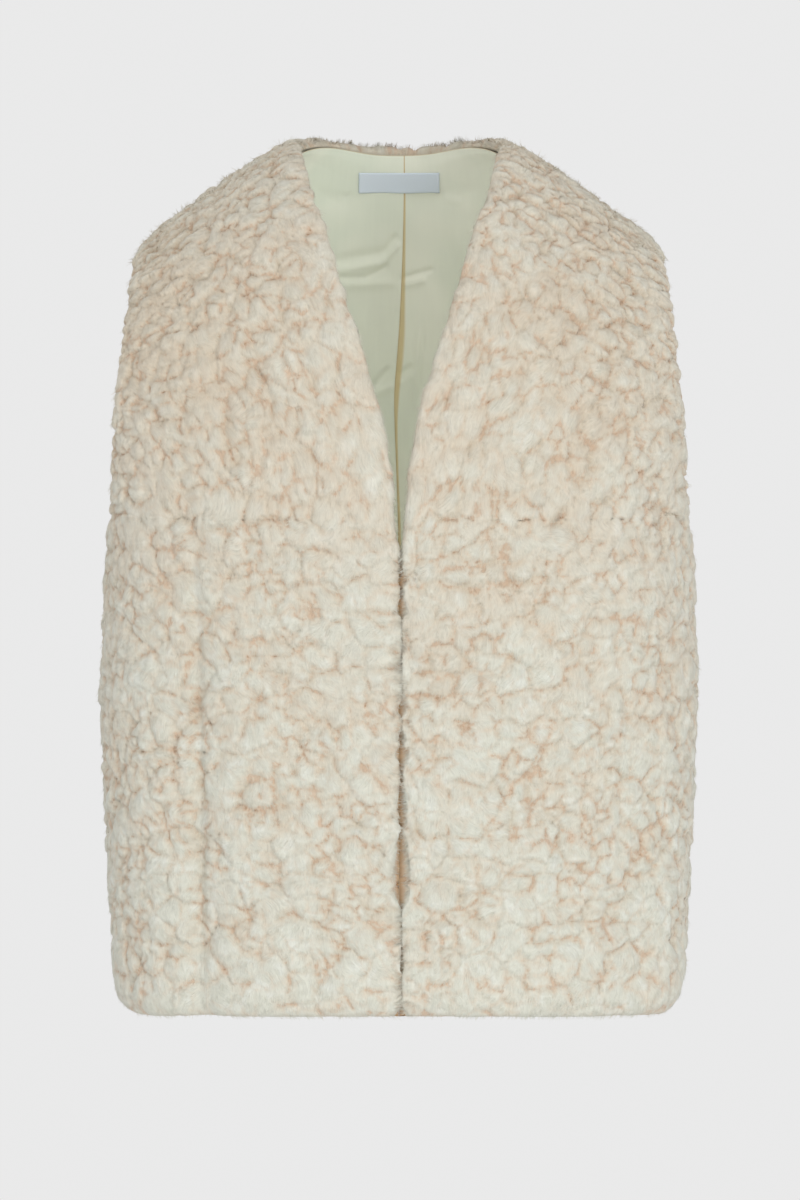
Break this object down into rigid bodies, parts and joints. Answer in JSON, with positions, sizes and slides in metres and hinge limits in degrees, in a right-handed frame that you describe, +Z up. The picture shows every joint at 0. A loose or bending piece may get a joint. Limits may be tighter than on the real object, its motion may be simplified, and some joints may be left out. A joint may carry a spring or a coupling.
{
  "type": "pile-cloth vest, open front, filled out as worn",
  "caption": "Sleeveless open-front vest with a V neck, in thick curly pile cloth with a smooth lining, filled out as if worn.",
  "frame": {"origin": "midway between the two places where the wearer's shoulders carry the vest, at the height of the lining there", "axes": "+X to the wearer's left, -Y to the front and +Z up"},
  "size_m": [0.4216, 0.243, 0.6112],
  "materials": {
    "pile_cloth": "matt curly pile, cream with a peach tinge between the curls",
    "lining_cloth": "smooth ivory lining with a soft sheen",
    "label_cloth": "blank satin weave, bluish white"
  },
  "bodies": {
    "root": {"pile_back": "pile_cloth", "pile_front_left": "pile_cloth", "pile_front_right": "pile_cloth", "lining_back": "lining_cloth", "lining_front_left": "lining_cloth", "lining_front_right": "lining_cloth", "neck_label": "label_cloth"}
  },
  "joints": []
}
